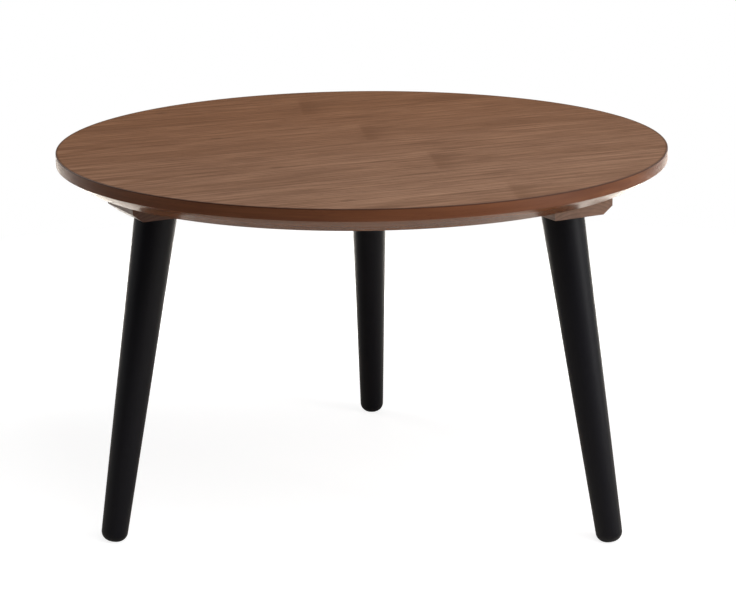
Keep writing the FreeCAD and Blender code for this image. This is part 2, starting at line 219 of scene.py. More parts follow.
@dataclass
class Effects:
    """The shader node groups that several finishes share, each built once."""

    slow_tone: Noise = Noise((4.0, 24.0, 24.0))
    tone_bands: Noise = Noise((7.0, 100.0, 100.0), 3.0, 0.2)
    band_share: float = 0.5
    tone_range: Span = (0.32, 0.68)
    streaks: Noise = Noise((10.0, 290.0, 290.0), 3.0)
    fibres: Noise = Noise((24.0, 900.0, 900.0), 1.0)
    fibre_share: float = 0.4
    streak_range: Span = (0.30, 0.70)
    dashes: Noise = Noise((85.0, 2300.0, 2300.0), 1.0)
    pore_range: Span = (0.60, 0.72)
    early_wood: Limits = (0.38, 0.62, 0.25, 1.0)
    ring_shake: Noise = Noise((4.5, 22.0, 22.0))
    ring_deepens: Span = (0.0, 0.85)
    ring_line: Mark = Mark((0.62, 0.93, 0.93, 0.99))
    line_fades: Noise = Noise((3.0, 28.0, 28.0))
    line_range: Span = (0.38, 0.66)
    film_cloud: Noise = Noise((14.0, 14.0, 14.0), 3.0)
    film_speck: Noise = Noise((900.0, 900.0, 900.0), 1.0)
    speck_share: float = 0.35
    film_peel: Noise = Noise((420.0, 420.0, 420.0), 1.0)

    def __post_init__(self) -> None:
        """Builds the groups."""
        self.grain = self._grain()
        self.rings = self._rings()
        self.film = self._film()

    @staticmethod
    def _open(name: str, *numbers: str) -> tuple[NodeBench, dict[str, Socket]]:
        """Starts a group that takes coordinates and numbers.

        Args:
            name: what the group is called.
            numbers: its inputs, besides the coordinates.

        Returns:
            A bench on the group's tree and its inputs by name.
        """
        bench = NodeBench(bpy.data.node_groups.new(name, "ShaderNodeTree"))
        sockets = bench.tree.interface
        sockets.new_socket("Vector", in_out="INPUT", socket_type="NodeSocketVector")
        for number in numbers:
            sockets.new_socket(number, in_out="INPUT", socket_type="NodeSocketFloat")
        entry = bench.add("NodeGroupInput")
        return bench, {socket.name: socket for socket in entry.outputs if socket.name}

    @staticmethod
    def _close(bench: NodeBench, results: dict[str, Socket]) -> bpy.types.NodeTree:
        """Ends a group.

        Args:
            bench: the group's bench.
            results: the values that the group puts out, by name.

        Returns:
            The group.
        """
        for name in results:
            bench.tree.interface.new_socket(name, in_out="OUTPUT", socket_type="NodeSocketFloat")
        bench.add("NodeGroupOutput", results)
        return bench.tree

    def _grain(self) -> bpy.types.NodeTree:
        """Fibres along X: slow bands of tone, fine streaks and short open pores, all stretched noise.

        Returns:
            The group.
        """
        bench, given = self._open("wood_grain")
        place = given["Vector"]
        bands = self.tone_bands.over(bench, place)
        fibres = self.fibres.over(bench, place)
        tone = bench.blend(self.slow_tone.over(bench, place), bands, self.band_share)
        fine = bench.blend(self.streaks.over(bench, place), fibres, self.fibre_share)
        dashes = bench.rise(self.dashes.over(bench, place), *self.pore_range)
        pores = bench.product(dashes, bench.rise(bands, *self.early_wood))
        results = {
            "Tone": bench.rise(tone, *self.tone_range),
            "Streak": bench.rise(fine, *self.streak_range),
            "Pores": pores,
            "Height": bench.ramp(pores, -1.0, bench.product(fibres, self.fibre_share)),
        }
        return self._close(bench, results)

    def _rings(self) -> bpy.types.NodeTree:
        """Growth rings of a tapering log cut by the surface, with X along the log.

        The distance from the pith is the root of y squared plus depth squared, where depth is Depth + z plus
        Taper times x, shaken by slow noise. Each Spacing of that distance is a ring, pale at first and closed
        by a thin dark line that comes and goes along the board.

        Returns:
            The group.
        """
        bench, given = self._open("growth_rings", "Depth", "Taper", "Spacing", "Wander")
        place = given["Vector"]
        along, across, height = bench.split(place)
        depth = bench.ramp(along, given["Taper"], bench.math("ADD", given["Depth"], height))
        straight = bench.math("SQRT", bench.ramp(depth, depth, bench.product(across, across)))
        distance = bench.shaken(straight, self.ring_shake.over(bench, place), given["Wander"])
        ring = bench.math("FRACT", bench.math("DIVIDE", distance, given["Spacing"]))
        shown = bench.rise(self.line_fades.over(bench, place), *self.line_range)
        results = {
            "Ring": bench.rise(ring, *self.ring_deepens),
            "Latewood": bench.product(self.ring_line.across(bench, ring), shown),
        }
        return self._close(bench, results)

    def _film(self) -> bpy.types.NodeTree:
        """A sprayed film: roughness that drifts over the surface and the fine unevenness of the spray.

        Returns:
            The group.
        """
        bench, given = self._open("sprayed_film", "Roughness", "Drift")
        place = given["Vector"]
        cloud = self.film_cloud.over(bench, place)
        uneven = bench.blend(cloud, self.film_speck.over(bench, place), self.speck_share)
        results = {
            "Roughness": bench.shaken(given["Roughness"], uneven, given["Drift"]),
            "Peel": self.film_peel.over(bench, place),
        }
        return self._close(bench, results)


class MaterialBench(NodeBench):
    """A bench on a new material, with the shared effects at hand."""

    def __init__(self, name: str, effects: Effects | None = None) -> None:
        """Starts an empty material.

        Args:
            name: what the material is called.
            effects: the shared node groups, which the stage does without.
        """
        self.material = bpy.data.materials.new(name)
        self.material.use_nodes = True
        self.material.node_tree.nodes.clear()
        self.effects = effects
        super().__init__(self.material.node_tree)

    def effect(self, group: bpy.types.NodeTree, feeds: dict) -> dict[str, Socket]:
        """Places a shared effect and gives its outputs by name."""
        node = self.add("ShaderNodeGroup", feeds, node_tree=group)
        return {output.name: output for output in node.outputs}

    def grain(self, place: Socket) -> dict[str, Socket]:
        """Wood grain over coordinates."""
        return self.effect(self.effects.grain, {"Vector": place})

    def film(self, roughness: Feed, drift: float) -> dict[str, Socket]:
        """A sprayed film over the solid."""
        feeds = {"Vector": self.place(PatternSpace.SOLID), "Roughness": roughness, "Drift": drift}
        return self.effect(self.effects.film, feeds)


@dataclass(frozen=True)
class RingFigure:
    """How the growth rings lie: depth of the pith, the log's taper, the rings' spacing and their wander."""

    depth: float
    taper: float
    spacing: float
    wander: float

    def over(self, bench: MaterialBench, place: Socket) -> dict[str, Socket]:
        """The rings over coordinates."""
        lie = {"Depth": self.depth, "Taper": self.taper, "Spacing": self.spacing, "Wander": self.wander}
        return bench.effect(bench.effects.rings, {"Vector": place, **lie})


BAND_RINGS = RingFigure(0.030, 0.006, 0.0048, 0.009)
BOARD_RINGS = RingFigure(0.085, 0.020, 0.0043, 0.007)


@dataclass(frozen=True)
class WalnutStain:
    """The browns of one stained walnut surface and how much of the figure shows."""

    pale: Colour
    deep: Colour
    line: Colour
    pore: Colour
    line_share: float = 0.5
    pore_share: float = 0.5
    streak_share: float = 0.22
    ring_share: float = 0.35

    def grained(
        self, bench: MaterialBench, share: Socket, grain: dict[str, Socket], latewood: Socket | None = None
    ) -> Socket:
        """Stained wood with its streaks, dark ring lines and pores.

        Args:
            bench: the material's bench.
            share: how far the ground goes from the pale brown to the deep one.
            grain: outputs of the wood_grain effect.
            latewood: where the ring lines are, if there are any.

        Returns:
            The colour.
        """
        colour = bench.mix(share, self.pale, self.deep)
        colour = bench.mix(bench.product(grain["Streak"], self.streak_share), colour, self.line)
        if latewood is not None:
            colour = bench.mix(bench.product(latewood, self.line_share), colour, self.line)
        return bench.mix(bench.product(grain["Pores"], self.pore_share), colour, self.pore)

    def ringed(self, bench: MaterialBench, place: Socket, figure: RingFigure) -> tuple[Socket, Socket]:
        """Stained wood whose ground follows its growth rings.

        Args:
            bench: the material's bench.
            place: coordinates with X along the grain.
            figure: how the rings lie.

        Returns:
            The colour and the relief of the grain.
        """
        rings = figure.over(bench, place)
        grain = bench.grain(place)
        share = bench.blend(grain["Tone"], rings["Ring"], self.ring_share)
        return self.grained(bench, share, grain, rings["Latewood"]), grain["Height"]


FACE_STAIN = WalnutStain(
    tint(177, 139, 114),
    tint(143, 108, 85),
    tint(93, 65, 50),
    tint(70, 48, 36),
    pore_share=0.6,
    streak_share=0.75,
)
BAND_STAIN = WalnutStain(
    tint(126, 78, 51), tint(104, 60, 37), tint(74, 41, 26), tint(58, 32, 20), streak_share=0.35
)
BEVEL_STAIN = WalnutStain(
    tint(142, 92, 63), tint(120, 74, 49), tint(94, 56, 37), tint(76, 46, 30), line_share=0.3, pore_share=0.3
)
BACK_STAIN = WalnutStain(
    tint(126, 93, 72), tint(106, 76, 58), tint(82, 57, 42), tint(68, 45, 33), line_share=0.3, pore_share=0.4
)
LONG_BATTEN_STAIN = WalnutStain(tint(144, 106, 82), tint(116, 82, 62), tint(82, 56, 42), tint(67, 45, 34))
# The short batten's stain is darker than the long one's: partly another plank, partly painted shade for its
# end, which sits deep under the top.
SHORT_BATTEN_SHADED_STAIN = WalnutStain(tint(116, 80, 62), tint(92, 62, 47), tint(66, 43, 33), tint(54, 35, 27))


@dataclass(frozen=True)
class SatinFilm:
    """How a sprayed coat takes the light."""

    roughness: float
    drift: float
    specular: float
    bump: float
    peel_share: float = 0.5
    relief: float = 0.0002

    def coat(
        self, bench: MaterialBench, colour: Socket, height: Socket, dulled: Socket | None = None
    ) -> None:
        """Ends a material with this film over a colour.

        Args:
            bench: the material's bench.
            colour: what lies under the film.
            height: relief of what lies under it.
            dulled: how rough the film is where it is rubbed through, if it is.
        """
        roughness = self.roughness if dulled is None else bench.math("MAXIMUM", dulled, self.roughness)
        film = bench.film(roughness, self.drift)
        uneven = bench.ramp(film["Peel"], self.peel_share, height)
        feeds = {
            "Base Color": colour,
            "Roughness": film["Roughness"],
            "Specular IOR Level": self.specular,
            "Normal": bench.step("Bump", {"Strength": self.bump, "Distance": self.relief, "Height": uneven}),
        }
        bench.show(bench.step("BsdfPrincipled", feeds))


EDGE_FILM = SatinFilm(0.36, 0.08, 0.15, 0.08)
BEVEL_FILM = SatinFilm(0.26, 0.06, 0.18, 0.04)
BACK_FILM = SatinFilm(0.55, 0.10, 0.25, 0.15)
LONG_BATTEN_FILM = SatinFilm(0.36, 0.08, 0.40, 0.06)
SHORT_BATTEN_FILM = SatinFilm(0.32, 0.06, 0.20, 0.06)


class Finish(ABC):
    """A finish that pieces are dressed in. Its name is its material's."""

    name: str

    def material(self, effects: Effects) -> bpy.types.Material:
        """Makes the material.

        Args:
            effects: the shared node groups.

        Returns:
            The material.
        """
        bench = MaterialBench(self.name, effects)
        self.draw(bench)
        return bench.material

    @abstractmethod
    def draw(self, bench: MaterialBench) -> None:
        """Draws the finish on the material's bench."""


@dataclass(frozen=True)
class LeafFigure:
    """The figure that each leaf of veneer repeats, measured along the grain and up from its lower seam.

    A slanting edge, where the sheen of the fibres turns over, is pale before it and dark past it. Above it an
    arch ends in a pale line with a dark one under it, and far behind it the arches come to pointed tips. The
    leaf is dark along its foot, deeper to the right, and pale along its head.
    """

    edge_place: Span = (0.0290, 0.0585)
    edge_slant: float = -18.0
    edge_fibres: Noise = Noise((30.0, 240.0, 240.0))
    edge_raggedness: float = 0.010
    edge_dark: Mark = Mark((-0.002, 0.003, 0.005, 0.030), 0.27)
    edge_dark_ends: Span = (0.072, 0.112)
    edge_pale: Mark = Mark((-0.190, -0.040, -0.004, 0.002), -0.24)
    edge_pale_levels: Mark = Mark((0.058, 0.080, 0.102, 0.112))
    arch_height: float = 0.118
    arch_sag: float = 0.30
    arch_pale: Mark = Mark((-0.005, -0.001, 0.002, 0.006), -0.30)
    arch_dark: Mark = Mark((-0.012, -0.008, -0.006, -0.003), 0.20)
    arch_reach: Mark = Mark((-0.230, -0.090, 0.050, 0.060))
    tip_place: Span = (-0.272, 0.0955)
    tip_slope: float = 4.2
    tip_width: Span = (0.012, 0.030)
    tips: tuple[Mark, ...] = (
        Mark((-0.120, -0.080, -0.055, -0.035), -0.40),
        Mark((-0.038, -0.022, -0.006, 0.006), 0.55),
        Mark((0.072, 0.080, 0.088, 0.096), 0.1833),
        Mark((0.108, 0.114, 0.122, 0.130), 0.1833),
    )
    foot_dark: float = 0.13
    foot_ends: Span = (0.035, 0.080)
    deeper_foot: Mark = Mark((-0.010, 0.015, 0.045, 0.070), 0.065)
    deeper_from: Span = (0.100, 0.200)
    head_pale: float = -0.16
    head_starts: Span = (0.160, 0.190)
    head_from: Span = (-0.030, 0.060)
    drift: Noise = Noise((9.0, 34.0, 300.0))
    waver: float = 0.007

    def tone(self, bench: NodeBench, leaf: Socket) -> Socket:
        """How much darker than its ground the wood is, or paler if below nought.

        Args:
            bench: the material's bench.
            leaf: coordinates in the leaf.

        Returns:
            The tone, as a share of the way from the pale brown to the deep one.
        """
        along, level, _ = bench.split(leaf)
        level = bench.shaken(level, self.drift.over(bench, leaf), self.waver)
        edge = self._edge(bench, leaf, level)
        arch = self._arch(bench, along, level)
        tips = self._tips(bench, along, level)
        return bench.total(edge, arch, tips, self._foot_and_head(bench, along, level))

    def _edge(self, bench: NodeBench, leaf: Socket, level: Socket) -> Socket:
        """The slanting edge, ragged by short fibres.

        Args:
            bench: the material's bench.
            leaf: coordinates in the leaf.
            level: wavering height in the leaf.

        Returns:
            The edge's tone.
        """
        past, _, _ = bench.split(bench.turned_frame(leaf, (*self.edge_place, 0.0), self.edge_slant))
        past = bench.shaken(past, self.edge_fibres.over(bench, leaf), self.edge_raggedness)
        below = bench.rise(level, *self.edge_dark_ends, 1.0, 0.0)
        dark = bench.product(self.edge_dark.across(bench, past), below)
        between = self.edge_pale_levels.across(bench, level)
        return bench.math("ADD", dark, bench.product(self.edge_pale.across(bench, past), between))

    def _arch(self, bench: NodeBench, along: Socket, level: Socket) -> Socket:
        """The line that ends at the edge's top: its height climbs with the square of the distance behind.

        Args:
            bench: the material's bench.
            along: distance along the grain.
            level: wavering height in the leaf.

        Returns:
            The arch's tone.
        """
        curve = bench.ramp(bench.product(along, along), self.arch_sag, self.arch_height)
        above = bench.math("SUBTRACT", level, curve)
        lines = bench.math("ADD", self.arch_pale.across(bench, above), self.arch_dark.across(bench, above))
        return bench.product(lines, self.arch_reach.across(bench, along))

    def _tips(self, bench: NodeBench, along: Socket, level: Socket) -> Socket:
        """The pointed tips: lines of one distance along plus a slope times the distance aside.

        Args:
            bench: the material's bench.
            along: distance along the grain.
            level: wavering height in the leaf.

        Returns:
            The tips' tone.
        """
        tip_along, tip_level = self.tip_place
        aside = bench.math("ABSOLUTE", bench.math("SUBTRACT", level, tip_level))
        tip = bench.ramp(aside, self.tip_slope, bench.math("SUBTRACT", along, tip_along))
        lines = bench.total(*(mark.across(bench, tip) for mark in self.tips))
        return bench.product(lines, bench.rise(aside, *self.tip_width, 1.0, 0.0))

    def _foot_and_head(self, bench: NodeBench, along: Socket, level: Socket) -> Socket:
        """The broad bands along the leaf's foot and head.

        Args:
            bench: the material's bench.
            along: distance along the grain.
            level: wavering height in the leaf.

        Returns:
            The bands' tone.
        """
        foot = bench.rise(level, *self.foot_ends, self.foot_dark, 0.0)
        deeper = bench.product(self.deeper_foot.across(bench, level), bench.rise(along, *self.deeper_from))
        head = bench.rise(level, *self.head_starts, 0.0, self.head_pale)
        return bench.total(foot, deeper, bench.product(head, bench.rise(along, *self.head_from)))


@dataclass(frozen=True)
class SlipMatchedFace(Finish):
    """The face's walnut veneer: leaves of one log side by side, with the same figure in each."""

    name: str = "walnut_face"
    stain: WalnutStain = FACE_STAIN
    film: SatinFilm = SatinFilm(0.70, 0.10, 0.012, 0.10)
    figure: LeafFigure = LeafFigure()
    leaf_width: float = 0.2006
    first_seam: float = 0.008
    slip: float = 0.0062
    slice_thickness: float = 0.0006
    seam_width: float = 0.0012
    seam_share: float = 0.10
    noise_share: float = 0.40
    pin_place: Span = (-0.154, 0.095)
    pin_size: Span = (0.002, 0.012)
    pin_squeeze: Point = (1.0, 1.6, 1.0)
    pin_share: float = 0.28
    haze_fade_reach: Span = (-0.33, 0.33)
    back_warmth_tint: Colour = (0.95, 0.814, 0.683, 1.0)
    rim_reach: Span = (0.3712, 0.374)
    rim_share: float = 0.60

    def draw(self, bench: MaterialBench) -> None:
        """Draws the leaves, their figure, pin knots and seams, the back-left tinted warmer as painted shade,
        and the darker rim.

        Args:
            bench: the material's bench.
        """
        solid = bench.place(PatternSpace.SOLID)
        turned = bench.turned_frame(solid, (0.0, 0.0, 0.0), GRAIN_HEADING)
        leaf, seam = self._lay_leaves(bench, turned)
        grain = bench.grain(leaf)
        uneven = bench.ramp(grain["Tone"], self.noise_share, 0.5 - self.noise_share / 2.0)
        share = bench.math("ADD", self.figure.tone(bench, leaf), uneven)
        colour = self.stain.grained(bench, share, grain)
        colour = bench.mix(self._pin(bench, leaf), colour, self.stain.pore)
        colour = bench.mix(seam, colour, self.stain.line)
        # Painted shade: the face turns warmer and darker towards the back-left, for the lack there of the sheen
        # on the front-right.
        painted_back_warmth = bench.rise(bench.split(turned)[1], *self.haze_fade_reach)
        colour = bench.mix(painted_back_warmth, colour, self.back_warmth_tint, "MULTIPLY")
        # Darker rim next to the edge band: partly the dark joint, partly painted shade of the dark line along
        # the arris.
        from_centre = bench.length(bench.stretch(solid, FLATTEN))
        rim = bench.rise(from_centre, *self.rim_reach, 0.0, self.rim_share)
        self.film.coat(bench, bench.mix(rim, colour, self.stain.pore), grain["Height"])

    def _lay_leaves(self, bench: NodeBench, turned: Socket) -> tuple[Socket, Socket]:
        """Lays leaves side by side across Y, each the next slice of one log.

        The leaf's number is the whole part of (y - first seam) / width. A point keeps its place in its own
        leaf, moved along the grain by the slip of each leaf and down the log by the thickness of a slice.

        Args:
            bench: the material's bench.
            turned: coordinates with X along the grain.

        Returns:
            Coordinates in the leaf, and the share of dark stain in the seams.
        """
        along, across, _ = bench.split(turned)
        turns = bench.math("DIVIDE", bench.math("SUBTRACT", across, self.first_seam), self.leaf_width)
        number = bench.math("FLOOR", turns)
        inside = bench.product(bench.math("FRACT", turns), self.leaf_width)
        nearer_side = bench.math("MINIMUM", inside, bench.math("SUBTRACT", self.leaf_width, inside))
        slid = bench.ramp(number, self.slip, along)
        leaf = bench.join(slid, inside, bench.product(number, self.slice_thickness))
        return leaf, bench.rise(nearer_side, 0.0, self.seam_width, self.seam_share, 0.0)

    def _pin(self, bench: NodeBench, leaf: Socket) -> Socket:
        """The pin knot that each leaf repeats, a small oval.

        Args:
            bench: the material's bench.
            leaf: coordinates in the leaf.

        Returns:
            The share of dark stain in the knot.
        """
        to_pin = (-self.pin_place[0], -self.pin_place[1], 0.0)
        spot = bench.stretch(bench.stretch(leaf, FLATTEN, to_pin), self.pin_squeeze)
        return bench.rise(bench.length(spot), *self.pin_size, self.pin_share, 0.0)


@dataclass(frozen=True)
class WalnutBand(Finish):
    """Walnut edging in the piece's unrolled coordinates: its grain runs round to a tight butt joint."""

    name: str
    stain: WalnutStain
    film: SatinFilm
    shift: float
    eased_from: float | None = None
    arris_joint_and_shade_share: float = 0.85
    eased_roughness: float = 0.6
    joint_width: float = 0.0006
    joint_share: float = 0.6

    def draw(self, bench: MaterialBench) -> None:
        """Draws the grain, the dark butt joint and, where the edge is eased, the rubbed arris, darkened partly
        as the joint with the face and partly as painted shade.

        Args:
            bench: the material's bench.
        """
        laid_flat = bench.place(PatternSpace.UNROLLED)
        strip = bench.stretch(laid_flat, (1.0, 1.0, 1.0), (self.shift, 0.0, self.shift))
        colour, height = self.stain.ringed(bench, strip, BAND_RINGS)
        around, up, _ = bench.split(laid_flat)
        butt = bench.rise(around, self.joint_width / 2.0, self.joint_width, self.joint_share, 0.0)
        colour = bench.mix(butt, colour, self.stain.pore)
        dulled = None
        if self.eased_from is not None:
            eased = bench.rise(up, self.eased_from, self.eased_from + self.joint_width, 0.0, self.arris_joint_and_shade_share)
            # The arris darkens towards the pore colour: partly the dark joint with the face, partly painted
            # shade where the arris would mirror dark surroundings.
            colour = bench.mix(eased, colour, self.stain.pore)
            dulled = bench.product(eased, self.eased_roughness)
        self.film.coat(bench, colour, height, dulled)


@dataclass(frozen=True)
class SolidWalnut(Finish):
    """Sawn walnut: rings round a pith that lies along the board, so faces show grain and ends show rings.

    The wood is darkened where the board meets what lies above it: painted shade, standing in for the shadow
    that the top casts there.
    """

    name: str
    stain: WalnutStain
    film: SatinFilm
    origin: Point
    heading: float
    top_shade_reach: Span = (0.023, 0.027)
    top_shade_share: float = 0.85

    def draw(self, bench: MaterialBench) -> None:
        """Draws the board's rings and grain, and the painted shade under what lies above it.

        Args:
            bench: the material's bench.
        """
        board = bench.turned_frame(bench.place(PatternSpace.SOLID), self.origin, self.heading)
        colour, height = self.stain.ringed(bench, board, BOARD_RINGS)
        # Painted shade: the top few millimetres of the board darken towards the pore colour, as if shadowed by
        # the top.
        painted_top_shade = bench.rise(bench.split(board)[2], *self.top_shade_reach, 0.0, self.top_shade_share)
        self.film.coat(bench, bench.mix(painted_top_shade, colour, self.stain.pore), height)


@dataclass(frozen=True)
class BlackLacquer(Finish):
    """Satin black lacquer on turned wood: nearly even, with the wood's pores just felt through it."""

    name: str = "black_lacquer"
    ground: Colour = tint(8, 8, 14)
    worn: Colour = tint(15, 14, 22)
    worn_share: float = 0.5
    film: SatinFilm = SatinFilm(0.43, 0.12, 0.14, 0.12)

    def draw(self, bench: MaterialBench) -> None:
        """Draws the lacquer over the grain.

        Args:
            bench: the material's bench.
        """
        grain = bench.grain(bench.place(PatternSpace.UNROLLED))
        colour = bench.mix(bench.product(grain["Streak"], self.worn_share), self.ground, self.worn)
        self.film.coat(bench, colour, grain["Height"])


@dataclass(frozen=True)
class ZincSteel(Finish):
    """Bright zinc on steel fastenings, slightly clouded."""

    name: str = "zinc_steel"
    bright: Colour = tint(206, 208, 210)
    dull: Colour = tint(160, 163, 168)
    cloud: Noise = Noise((650.0, 650.0, 650.0), 3.0, 0.4)
    cloud_range: Span = (0.35, 0.65)
    roughness: float = 0.32
    drift: float = 0.20

    def draw(self, bench: MaterialBench) -> None:
        """Draws the clouded metal.

        Args:
            bench: the material's bench.
        """
        cloud = bench.rise(self.cloud.over(bench, bench.place(PatternSpace.SOLID)), *self.cloud_range)
        feeds = {
            "Base Color": bench.mix(cloud, self.bright, self.dull),
            "Metallic": 1.0,
            "Roughness": bench.film(self.roughness, self.drift)["Roughness"],
        }
        bench.show(bench.step("BsdfPrincipled", feeds))


@dataclass(frozen=True)
class CoreBoard(Finish):
    """Pressed fibre board: short fibres in two tans."""

    name: str = "core_board"
    pale: Colour = tint(178, 146, 106)
    deep: Colour = tint(146, 114, 78)
    fibres: Noise = Noise((500.0, 500.0, 2200.0), 4.0, 0.6)
    fibre_range: Span = (0.36, 0.64)
    film: SatinFilm = SatinFilm(0.75, 0.10, 0.25, 0.20)

    def draw(self, bench: MaterialBench) -> None:
        """Draws the bare board.

        Args:
            bench: the material's bench.
        """
        fibres = self.fibres.over(bench, bench.place(PatternSpace.SOLID))
        colour = bench.mix(bench.rise(fibres, *self.fibre_range), self.pale, self.deep)
        self.film.coat(bench, colour, fibres)


def rounded_outline(corners: Outline, steps: int = 8) -> np.ndarray:
    """An outline through corners, each rounded by an arc that meets both of its sides.

    At a corner of turning angle t the arc of radius r starts and ends r * tan(t / 2) from the corner, and its
    centre lies on the line that halves the corner. A radius of nought keeps the corner.

    Args:
        corners: across, along and radius of each corner, from one end of the outline to the other.
        steps: points on each arc, less one.

    Returns:
        The points as an array of two columns.
    """
    places = np.array([corner[:2] for corner in corners])
    pieces = [places[:1]]
    for before, here, after, corner in zip(places, places[1:], places[2:], corners[1:]):
        radius = corner[2]
        if radius == 0.0:
            pieces.append(here[None])
            continue
        back = (before - here) / np.linalg.norm(before - here)
        ahead = (after - here) / np.linalg.norm(after - here)
        half = math.acos(float(np.clip(back @ ahead, -1.0, 1.0))) / 2.0
        middle = (back + ahead) / np.linalg.norm(back + ahead)
        centre = here + middle * radius / math.sin(half)
        sweep = np.linspace(-1.0, 1.0, steps + 1)[:, None] * (math.pi / 2.0 - half)
        side = (ahead - back) / np.linalg.norm(ahead - back)
        pieces.append(centre + radius * (np.sin(sweep) * side - np.cos(sweep) * middle))
    pieces.append(places[-1:])
    return np.concatenate(pieces)


def turned_grid(outline: np.ndarray, segments: int, start: float) -> tuple[np.ndarray, np.ndarray]:
    """Carries a half outline round the Z axis.

    A point of the outline at radius r and height h goes to (r cos a, r sin a, h) for each angle a. Laid flat,
    it is at a times the outline's greatest radius, and at its distance along the outline.

    Args:
        outline: radius and height of each point.
        segments: steps round the axis.
        start: angle of the first step.

    Returns:
        The grid of points and the same grid laid flat.
    """
    angles = math.radians(start) + np.linspace(0.0, FULL_TURN, segments + 1)
    radius, height = outline[:, :1], outline[:, 1:]
    points = np.stack([radius * np.cos(angles), radius * np.sin(angles), height + 0.0 * angles], axis=-1)
    gaps = np.linalg.norm(np.diff(outline, axis=0), axis=1)
    length = np.concatenate([[0.0], np.cumsum(gaps)])[:, None]
    girth = radius.max() * (angles - angles[0])
    flat = np.stack([girth + 0.0 * length, length + 0.0 * girth], axis=-1)
    return points[:, :-1], flat


def surface_piece(name: str, points: np.ndarray, unrolled: np.ndarray) -> bpy.types.Object:
    """Makes a piece from grids of points that close on themselves sideways.

    Row i and column j of a grid is a vertex, and four neighbours make a face. Points that fall together, at
    poles and where an outline meets itself, are joined, and the faces are then turned outwards.

    Args:
        name: the piece's name.
        points: copies by rows by columns by three.
        unrolled: rows by columns and one more by two, one grid laid flat in metres.

    Returns:
        The object, at the origin.
    """
    copies, rows, columns = points.shape[:3]
    counts = (np.arange(copies), np.arange(rows - 1), np.arange(columns))
    copy, row, column = np.meshgrid(*counts, indexing="ij")
    here = (copy * rows + row) * columns
    following = (column + 1) % columns
    corners = [here + column, here + following, here + columns + following, here + columns + column]
    loops = np.stack(corners, axis=-1).reshape(-1)
    sides = len(corners)
    flat = [unrolled[row, column], unrolled[row, column + 1]]
    flat += [unrolled[row + 1, column + 1], unrolled[row + 1, column]]
    faces = copy.size
    mesh = bpy.data.meshes.new(name)
    mesh.vertices.add(copies * rows * columns)
    mesh.vertices.foreach_set("co", points.reshape(-1).astype(np.float32))
    mesh.loops.add(faces * sides)
    mesh.loops.foreach_set("vertex_index", loops.astype(np.int32))
    mesh.polygons.add(faces)
    mesh.polygons.foreach_set("loop_start", np.arange(0, faces * sides, sides, dtype=np.int32))
    layer = mesh.uv_layers.new(name=UNROLLED_MAP)
    layer.uv.foreach_set("vector", np.stack(flat, axis=-2).reshape(-1).astype(np.float32))
    mesh.update(calc_edges=True)
    close_surface(mesh)
    piece = bpy.data.objects.new(name, mesh)
    bpy.context.scene.collection.objects.link(piece)
    return piece


def close_surface(mesh: bpy.types.Mesh) -> None:
    """Joins points that fall together, turns the faces outwards and smooths all but the sharp edges.

    Args:
        mesh: the surface, which is changed in place.
    """
    work = bmesh.new()
    work.from_mesh(mesh)
    bmesh.ops.remove_doubles(work, verts=work.verts, dist=WELD_DISTANCE)
    bmesh.ops.recalc_face_normals(work, faces=work.faces)
    work.to_mesh(mesh)
    work.free()
    mesh.polygons.foreach_set("use_smooth", np.ones(len(mesh.polygons), dtype=bool))
    mesh.set_sharp_from_angle(angle=SHARP_ANGLE)


def settle(piece: bpy.types.Object, material: bpy.types.Material, node: str) -> None:
    """Dresses a new piece, puts it on the table's body and lets it stand for a node.

    Args:
        piece: the new piece.
        material: its finish.
        node: the node that it stands for.
    """
    piece.data.materials.append(material)
    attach(piece, BODY)
    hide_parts(node)
    log.info("%s: %d faces, stands for %s", piece.name, len(piece.data.polygons), node)


def dress_node(node: str, material: bpy.types.Material) -> None:
    """Gives a solid that keeps its shape its finish.

    Args:
        node: the solid's node.
        material: its finish.
    """
    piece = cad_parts[node]
    piece.data.materials.clear()
    piece.data.materials.append(material)
    log.info("%s: keeps its solid, dressed in %s", node, material.name)


